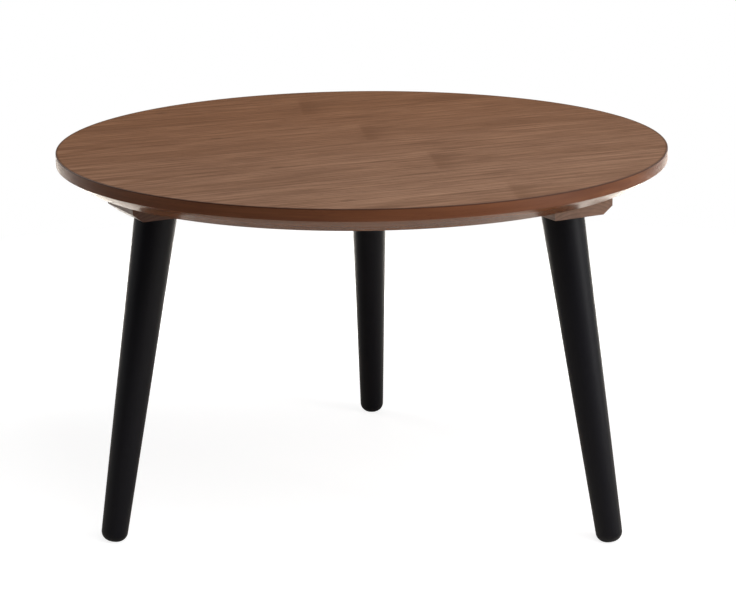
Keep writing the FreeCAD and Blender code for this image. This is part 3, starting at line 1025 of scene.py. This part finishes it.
@dataclass
class TopPanel:
    """The veneered disc with its upright edge and under-cut rim."""

    effects: Effects
    height: float = 0.457
    diameter: float = 0.750
    thickness: float = 0.030
    upright_edge: float = 0.014
    bevel_run: float = 0.025
    face_thickness: float = 0.0006
    band_thickness: float = 0.001
    arris: float = 0.0008
    segments: int = 360
    joint_heading: float = 90.0
    edge_shift: float = 0.4
    bevel_shift: float = 1.9

    @property
    def radius(self) -> float:
        """Half the diameter."""
        return self.diameter / 2.0

    @property
    def inner(self) -> float:
        """Radius of the edge band's inner side."""
        return self.radius - self.band_thickness

    @property
    def edge_foot(self) -> float:
        """Height at which the upright edge ends."""
        return self.height - self.upright_edge

    def build(self) -> None:
        """Makes and dresses every layer of the panel."""
        self.build_face()
        self.build_edge_band()
        self.build_bevel_band()
        top = (0.0, 0.0, self.height)
        backing = SolidWalnut("walnut_back", BACK_STAIN, BACK_FILM, top, GRAIN_HEADING)
        dress_node("back_veneer", backing.material(self.effects))
        dress_node("top_core", CoreBoard().material(self.effects))

    def ring(self, name: str, outline: Outline) -> bpy.types.Object:
        """A closed outline carried round the rim, starting where the band's ends meet."""
        points, flat = turned_grid(rounded_outline(outline), self.segments, self.joint_heading)
        return surface_piece(name, points[None], flat)

    def build_face(self) -> None:
        """The face: a thin disc inside the edge band."""
        bed = self.height - self.face_thickness
        outline = [
            (0.0, bed, 0.0),
            (self.inner, bed, 0.0),
            (self.inner, self.height, 0.0),
            (0.0, self.height, 0.0),
        ]
        face = self.ring("face_leaf", outline)
        settle(face, SlipMatchedFace().material(self.effects), "face_veneer")

    def build_edge_band(self) -> None:
        """The strip round the upright edge, eased at its upper outer edge."""
        outline = [
            (self.inner, self.edge_foot, 0.0),
            (self.radius, self.edge_foot, 0.0),
            (self.radius, self.height, self.arris),
            (self.inner, self.height, 0.0),
            (self.inner, self.edge_foot, 0.0),
        ]
        band = self.ring("edge_strip", outline)
        eased_from = self.band_thickness + self.upright_edge - 2.0 * self.arris
        finish = WalnutBand("walnut_edge", BAND_STAIN, EDGE_FILM, self.edge_shift, eased_from)
        settle(band, finish.material(self.effects), "edge_band")

    def build_bevel_band(self) -> None:
        """The strip round the under-cut."""
        bottom = self.height - self.thickness
        outline = [
            (self.inner - self.bevel_run, bottom, 0.0),
            (self.radius - self.bevel_run, bottom, 0.0),
            (self.radius, self.edge_foot, 0.0),
            (self.inner, self.edge_foot, 0.0),
            (self.inner - self.bevel_run, bottom, 0.0),
        ]
        band = self.ring("bevel_strip", outline)
        finish = WalnutBand("walnut_bevel", BEVEL_STAIN, BEVEL_FILM, self.bevel_shift)
        settle(band, finish.material(self.effects), "bevel_band")


class Leg(Enum):
    """The legs, by the way that each leans from +X."""

    RIGHT = 330.0
    REAR = 90.0
    LEFT = 210.0

    @property
    def side(self) -> str:
        """The leg's name in its nodes."""
        return self.name.lower()


@dataclass(frozen=True)
class Batten:
    """Where a batten lies: the way its outer side faces, its underside's middle and its legs' distance."""

    node: str
    heading: float
    origin: Point
    half_span: float
    finish: SolidWalnut


def seated(points: np.ndarray, seat: np.ndarray) -> np.ndarray:
    """Points of a leg's own frame, set in its seat."""
    return points @ seat[:, :3].T + seat[:, 3]


@dataclass
class Underframe:
    """The battens under the top and the legs that stand in them."""

    effects: Effects
    batten_bottom: float = 0.400
    flat_half: float = 0.0337
    end_reach: float = 0.038
    long_heading: float = 30.0
    short_heading: float = 210.0
    half_leg_angle: float = 60.0
    foot_circle: float = 0.348
    leg_splay: float = 10.0
    leg_top: float = 0.051
    leg_foot: float = 0.0317
    top_round: float = 0.0005
    foot_round: float = 0.012
    round_steps: int = 12
    socket_lip: float = 0.001
    bolt_bore: float = 0.0082
    bore_depth: float = 0.043
    segments: int = 96
    seam_heading: float = 180.0

    @property
    def seat_height(self) -> float:
        """Height of the middle of a leg's seat."""
        lean = math.radians(self.leg_splay)
        return self.batten_bottom + self.socket_lip + self.leg_top / 2.0 * math.sin(lean)

    @property
    def seat_circle(self) -> float:
        """Radius of the circle that the legs' seats stand on."""
        return self.foot_circle - self.seat_height * math.tan(math.radians(self.leg_splay))

    @property
    def leg_length(self) -> float:
        """Length of a leg along its axis."""
        return self.seat_height / math.cos(math.radians(self.leg_splay))

    def battens(self) -> list[Batten]:
        """The long batten, half way between its two legs, and the short one over the third.

        Returns:
            Both battens.
        """
        reach, half = self.seat_circle, math.radians(self.half_leg_angle)
        middle, spread = reach * math.cos(half), reach * math.sin(half)
        boards = (
            ("long_batten", self.long_heading, middle, spread, LONG_BATTEN_STAIN, LONG_BATTEN_FILM),
            ("short_batten", self.short_heading, reach, 0.0, SHORT_BATTEN_SHADED_STAIN, SHORT_BATTEN_FILM),
        )
        battens = []
        for node, heading, distance, half_span, stain, film in boards:
            turn = math.radians(heading)
            origin = (distance * math.cos(turn), distance * math.sin(turn), self.batten_bottom)
            finish = SolidWalnut(f"walnut_{node}", stain, film, origin, heading + RIGHT_ANGLE)
            battens.append(Batten(node, heading, origin, half_span, finish))
        return battens

    def build(self) -> None:
        """Makes the legs and dresses the battens."""
        lacquer = BlackLacquer().material(self.effects)
        for leg in Leg:
            settle(self.leg(leg), lacquer, f"leg_{leg.side}")
        for batten in self.battens():
            dress_node(batten.node, batten.finish.material(self.effects))

    def seat_frame(self, leg: Leg) -> np.ndarray:
        """The frame of a leg: Z up along its axis, at the middle of its seat.

        Args:
            leg: which leg it is.

        Returns:
            A matrix of three rows and four columns: the axes, then the place.
        """
        turn = Matrix.Rotation(math.radians(leg.value), 3, "Z")
        lean = Matrix.Rotation(-math.radians(self.leg_splay), 3, "Y")
        place = turn @ Vector((self.seat_circle, 0.0, self.seat_height))
        return np.column_stack([np.array(turn @ lean), np.array(place)])

    def leg(self, leg: Leg) -> bpy.types.Object:
        """A tapered leg with a bore for its bolt and a rounded foot, cut level at the floor.

        The half outline goes round the leg's own axis, is set at the leg's lean, and what would pass the
        floor is brought up to it. Laid flat, its length comes first, so that the grain runs along the leg.

        Args:
            leg: which leg it is.

        Returns:
            The piece.
        """
        bore = self.bolt_bore / 2.0
        outline = [
            (0.0, -self.bore_depth, 0.0),
            (bore, -self.bore_depth, 0.0),
            (bore, 0.0, 0.0),
            (self.leg_top / 2.0, 0.0, self.top_round),
            (self.leg_foot / 2.0, -self.leg_length, self.foot_round),
            (0.0, -self.leg_length, 0.0),
        ]
        profile = rounded_outline(outline, self.round_steps)
        points, flat = turned_grid(profile, self.segments, self.seam_heading)
        placed = seated(points, self.seat_frame(leg))
        placed[..., 2] = np.maximum(placed[..., 2], 0.0)
        return surface_piece(f"{leg.side}_leg_turning", placed[None], flat[..., ::-1])


@dataclass(frozen=True)
class ScrewThread:
    """A ridge wound round a rod, between two heights on it."""

    start: float
    end: float
    pitch: float
    depth: float
    crest_share: float = 0.12
    root_share: float = 0.30

    def cut(self, height: np.ndarray, turns: np.ndarray) -> np.ndarray:
        """How far the surface lies below the crest.

        The place in the pitch is the fraction of height / pitch less the turns round the rod. The surface
        sinks as that place leaves the crest, stays level along the root, and fades in and out over one pitch.

        Args:
            height: rows of heights along the rod.
            turns: columns of turns round it.

        Returns:
            Rows by columns of depths.
        """
        away = np.abs(2.0 * np.mod(height / self.pitch - turns, 1.0) - 1.0)
        flank = 1.0 - self.crest_share - self.root_share
        sunk = np.clip((away - self.crest_share) / flank, 0.0, 1.0)
        ends = np.clip(np.minimum(height - self.start, self.end - height) / self.pitch, 0.0, 1.0)
        return self.depth * sunk * ends


@dataclass(frozen=True)
class CrossRecess:
    """The cross that a screwdriver fits, sunk in a head."""

    depth: float = 0.0024
    reach: float = 0.0025
    half_width: float = 0.00042
    wall: float = 0.00022
    floor_slope: float = 1.5

    def sunk(self, radius: np.ndarray, angle: np.ndarray) -> np.ndarray:
        """How deep the recess is at a radius and an angle.

        The distance from the nearer arm's middle is the lesser of the two distances from the axes. Inside the
        arm's half width the floor is open, and it rises from the middle of the head to the ends of the arms.

        Args:
            radius: rows of radii.
            angle: columns of angles.

        Returns:
            Rows by columns of depths.
        """
        aside = np.minimum(np.abs(radius * np.cos(angle)), np.abs(radius * np.sin(angle)))
        inside = np.clip((self.half_width + self.wall - aside) / self.wall, 0.0, 1.0)
        return self.depth * inside * np.clip(self.floor_slope * (1.0 - radius / self.reach), 0.0, 1.0)


@dataclass(frozen=True)
class ThreadedPiece:
    """A turned steel piece: its outline, the threads wound on it and the recess in its end.

    The outline lists radius, height and the steps taken to reach that point from the one before. Threads are
    cut only where the outline is wider than the bore.
    """

    outline: tuple[tuple[float, float, int], ...]
    threads: tuple[ScrewThread, ...]
    recess: CrossRecess | None = None
    bore: float = 0.0
    segments: int = 40
    deepest_share: float = 0.6

    def grid(self) -> tuple[np.ndarray, np.ndarray]:
        """The surface in the piece's own frame, with Z along its axis.

        A point of the outline at radius r and height h goes to (s cos a, s sin a, h) for each angle a, where
        s is r less what the threads cut away there. Rows on the lower end are raised by the recess.

        Returns:
            Rows by columns by three, and the same grid laid flat.
        """
        runs = zip(self.outline, self.outline[1:])
        steps = [np.linspace(first[:2], last[:2], last[2], endpoint=False) for first, last in runs]
        profile = np.concatenate([*steps, [self.outline[-1][:2]]])
        points, flat = turned_grid(profile, self.segments, 0.0)
        radius, height = profile[:, :1], profile[:, 1:]
        turns = np.arange(self.segments)[None] / self.segments
        cut = sum(thread.cut(height, turns) for thread in self.threads)
        cut = np.where(radius > self.bore, np.minimum(cut, self.deepest_share * radius), 0.0)
        points[..., :2] *= (1.0 - cut / np.maximum(radius, WELD_DISTANCE))[..., None]
        if self.recess is not None:
            on_end = height <= height.min() + WELD_DISTANCE
            points[..., 2] += np.where(on_end, self.recess.sunk(radius, turns * FULL_TURN), 0.0)
        return points, flat


BATTEN_SCREW = ThreadedPiece(
    (
        (0.0, 0.0, 1),
        (0.0030, 0.0, 18),
        (0.0043, 0.0, 3),
        (0.0019, 0.0024, 6),
        (0.0019, 0.0100, 4),
        (0.00225, 0.0115, 6),
        (0.00225, 0.0340, 90),
        (0.0002, 0.0390, 20),
        (0.0, 0.0390, 1),
    ),
    (ScrewThread(0.0105, 0.0388, 0.0020, 0.00075),),
    CrossRecess(),
)
WOOD_THREAD = ScrewThread(-0.0400, -0.0090, 0.0030, 0.0010)
MACHINE_THREAD = ScrewThread(-0.0030, 0.0152, 0.00125, 0.0006, 0.15, 0.15)
HANGER_BOLT = ThreadedPiece(
    (
        (0.0, -0.0400, 1),
        (0.0010, -0.0400, 2),
        (0.0040, -0.0340, 24),
        (0.0040, -0.0100, 96),
        (0.0040, -0.0020, 4),
        (0.0040, 0.0134, 100),
        (0.0034, 0.0140, 3),
        (0.0, 0.0140, 3),
    ),
    (WOOD_THREAD, MACHINE_THREAD),
)
THREADED_INSERT = ThreadedPiece(
    (
        (0.0041, 0.0, 1),
        (0.0060, 0.0, 3),
        (0.0060, 0.0140, 84),
        (0.0041, 0.0140, 3),
        (0.0041, 0.0, 12),
    ),
    (ScrewThread(-0.0010, 0.0150, 0.0025, 0.0008),),
    bore=0.005,
)


@dataclass
class Fastenings:
    """The steel that holds the table together: countersunk screws, hanger bolts and their inserts."""

    effects: Effects
    underframe: Underframe
    screw_inset: float = 0.008
    screw_leg_gap: float = 0.090
    turn_between_screws: float = 137.5

    def build(self) -> None:
        """Makes and dresses the screws, bolts and inserts."""
        zinc = ZincSteel().material(self.effects)
        for batten in self.underframe.battens():
            settle(self.screws(batten), zinc, f"{batten.node}_screws")
        for leg in Leg:
            seat = self.underframe.seat_frame(leg)
            for kind, shape in (("hanger_bolt", HANGER_BOLT), ("threaded_insert", THREADED_INSERT)):
                points, flat = shape.grid()
                piece = surface_piece(f"{leg.side}_{kind}_turning", seated(points, seat)[None], flat)
                settle(piece, zinc, f"{kind}_{leg.side}")

    def screws(self, batten: Batten) -> bpy.types.Object:
        """The screws of one batten, two to each row, each turned further than the last.

        Args:
            batten: where the batten lies.

        Returns:
            The piece.
        """
        if batten.half_span == 0.0:
            rows = np.array([-1.0, 1.0]) * (self.underframe.end_reach - self.screw_inset)
        else:
            rows = np.array([-1.0, 0.0, 1.0]) * (batten.half_span - self.screw_leg_gap)
        columns = np.array([-1.0, 1.0]) * (self.underframe.flat_half - self.screw_inset)
        out, along = (grid.reshape(-1) for grid in np.meshgrid(columns, rows, indexing="ij"))
        heading = math.radians(batten.heading)
        outward = np.array([math.cos(heading), math.sin(heading), 0.0])
        sideways = np.array([-math.sin(heading), math.cos(heading), 0.0])
        places = np.array(batten.origin) + out[:, None] * outward + along[:, None] * sideways
        turns = np.radians(self.turn_between_screws) * np.arange(out.size)
        cosine, sine = np.cos(turns), np.sin(turns)
        zero, one = np.zeros_like(turns), np.ones_like(turns)
        spins = np.array([[cosine, -sine, zero], [sine, cosine, zero], [zero, zero, one]])
        points, flat = BATTEN_SCREW.grid()
        placed = np.einsum("ijk,rcj->krci", spins, points) + places[:, None, None]
        return surface_piece(f"{batten.node}_screw_set", placed, flat)


@dataclass(frozen=True)
class SoftBox:
    """One soft lamp of the studio."""

    name: str
    place: Point
    aim: Point
    width: float
    depth: float
    power: float
    spread: float = 180.0

    def hang(self) -> None:
        """Hangs the lamp, facing its aim."""
        lamp = bpy.data.lights.new(self.name, "AREA")
        lamp.shape = "RECTANGLE"
        lamp.size, lamp.size_y, lamp.energy = self.width, self.depth, self.power
        lamp.spread = math.radians(self.spread)
        stand = bpy.data.objects.new(self.name, lamp)
        stand.location = self.place
        stand.rotation_euler = (Vector(self.aim) - Vector(self.place)).to_track_quat("-Z", "Y").to_euler()
        bpy.context.scene.collection.objects.link(stand)


@dataclass
class Studio:
    """White floor, soft lamps, a folded dark card on the camera's side, and the camera itself."""

    camera_place: Point = (0.08682, -2.77705, 0.99719)
    camera_bearing: float = -1.6685
    camera_pitch: float = 15.0692
    camera_roll: float = -0.5485
    focal_pixels: float = 2286.81
    image_width: float = 736.0
    sensor_width: float = 36.0
    floor_half: float = 9.0
    floor_pale: Colour = (0.70, 0.70, 0.70, 1.0)
    white: Colour = (1.0, 1.0, 1.0, 1.0)
    world_strength: float = 0.09
    floor_glow: float = 0.84
    fade_to_white: Span = (0.7, 1.6)
    mirrored_glow: float = 0.05
    mirrored_floor: Colour = (1.0, 0.94, 0.85, 1.0)
    shade_in_view: Colour = (0.42, 0.42, 0.42, 1.0)
    card_grey: Colour = tint(38, 38, 40)
    card_line: tuple[Span, ...] = ((1.2, -3.2), (-2.4, -3.2), (-3.0, -1.6))
    card_foot: float = 0.02
    card_head: float = 3.0
    lamps: tuple[SoftBox, ...] = (
        SoftBox("overhead_box", (0.95, -1.25, 2.5), (0.0, 0.0, 0.45), 2.2, 2.2, 57.0),
        SoftBox("right_box", (2.4, -0.95, 1.0), (0.0, 0.0, 0.4), 1.0, 1.6, 27.0),
        SoftBox("side_box", (2.6, 0.3, 1.1), (0.0, 0.0, 0.4), 1.4, 1.6, 6.0),
        SoftBox("back_box", (-2.4, 1.8, 1.5), (-0.3, 0.2, 0.3), 1.4, 1.4, 20.0),
        SoftBox("floor_wash", (0.0, 1.6, 1.5), (0.0, 1.6, 0.0), 3.0, 1.2, 60.0, 60.0),
    )

    def build(self) -> None:
        """Sets the stage, the light and the camera."""
        bpy.context.scene.view_settings.view_transform = "Standard"
        self.lay_floor()
        self.light_world()
        self.stand_card()
        for lamp in self.lamps:
            lamp.hang()
        self.set_camera()

    def plate(self, name: str, corners: list[Point], material: bpy.types.Material) -> bpy.types.Object:
        """A flat four-cornered piece of the stage.

        Args:
            name: what it is called.
            corners: its corners in order.
            material: what it is made of.

        Returns:
            The piece.
        """
        mesh = bpy.data.meshes.new(name)
        mesh.from_pydata(corners, [], [(0, 1, 2, 3)])
        mesh.materials.append(material)
        plate = bpy.data.objects.new(name, mesh)
        bpy.context.scene.collection.objects.link(plate)
        return plate

    def lay_floor(self) -> None:
        """A pale floor that looks white and keeps a soft shadow, and can be seen through from below."""
        bench = MaterialBench("studio_floor")
        rays = bench.add("ShaderNodeLightPath").outputs
        seen = bench.math("MAXIMUM", rays["Is Camera Ray"], rays["Is Transmission Ray"])
        glow = bench.glow(self.white, self.floor_glow)
        near = bench.step("AddShader", {0: glow, 1: bench.matt(self.shade_in_view)})
        fade = bench.rise(bench.length(bench.place(PatternSpace.SOLID)), *self.fade_to_white)
        shown = bench.choose(fade, near, bench.glow(self.white, 1.0))
        faint = bench.glow(self.mirrored_floor, self.mirrored_glow)
        bright = bench.step("AddShader", {0: faint, 1: bench.matt(self.mirrored_floor)})
        unseen = bench.choose(rays["Is Glossy Ray"], bench.matt(self.floor_pale), bright)
        top = bench.choose(seen, unseen, shown)
        under = bench.add("ShaderNodeNewGeometry").outputs["Backfacing"]
        bench.show(bench.choose(under, top, bench.step("BsdfTransparent")))
        half = self.floor_half
        corners = [(-half, -half, 0.0), (half, -half, 0.0), (half, half, 0.0), (-half, half, 0.0)]
        self.plate("studio_floor", corners, bench.material)

    def light_world(self) -> None:
        """White all round to the eye and in reflections, softer as light on the table."""
        world = bpy.data.worlds.new("studio")
        bpy.context.scene.world = world
        world.use_nodes = True
        world.node_tree.nodes.clear()
        bench = NodeBench(world.node_tree)
        rays = bench.add("ShaderNodeLightPath").outputs
        seen = bench.math("MAXIMUM", rays["Is Camera Ray"], rays["Is Transmission Ray"])
        seen = bench.math("MAXIMUM", seen, rays["Is Glossy Ray"])
        soft = bench.glow(self.white, self.world_strength, "Background")
        bench.show(bench.choose(seen, soft, bench.glow(self.white, 1.0, "Background")), "World")

    def stand_card(self) -> None:
        """The dark card, which the table mirrors and the camera looks through."""
        bench = MaterialBench("dark_card")
        bench.show(bench.matt(self.card_grey))
        for number, (start, end) in enumerate(zip(self.card_line, self.card_line[1:]), start=1):
            foot = [(*start, self.card_foot), (*end, self.card_foot)]
            head = [(*end, self.card_head), (*start, self.card_head)]
            card = self.plate(f"dark_card_{number}", foot + head, bench.material)
            card.visible_camera = False

    def set_camera(self) -> None:
        """Stands the camera where the photograph was taken from."""
        angles = (self.camera_bearing, self.camera_pitch, self.camera_roll)
        bearing, pitch, roll = (math.radians(angle) for angle in angles)
        level = Vector((math.cos(bearing), -math.sin(bearing), 0.0))
        forward = Vector((math.sin(bearing), math.cos(bearing), 0.0))
        ahead = forward * math.cos(pitch) - Vector((0.0, 0.0, math.sin(pitch)))
        right = level * math.cos(roll) + level.cross(ahead) * math.sin(roll)
        upward = right.cross(ahead)
        lens = bpy.data.cameras.new("photo_camera")
        lens.sensor_width = self.sensor_width
        lens.lens = self.focal_pixels * self.sensor_width / self.image_width
        camera = bpy.data.objects.new("photo_camera", lens)
        axes = Matrix((right, upward, -ahead)).transposed().to_4x4()
        camera.matrix_world = Matrix.Translation(self.camera_place) @ axes
        bpy.context.scene.collection.objects.link(camera)
        bpy.context.scene.camera = camera


def main() -> None:
    """Builds the table's looks, then the studio round it."""
    logging.basicConfig(level=logging.INFO, format="%(message)s")
    effects = Effects()
    TopPanel(effects).build()
    underframe = Underframe(effects)
    underframe.build()
    Fastenings(effects, underframe).build()
    Studio().build()


if __name__ == "__main__":
    main()
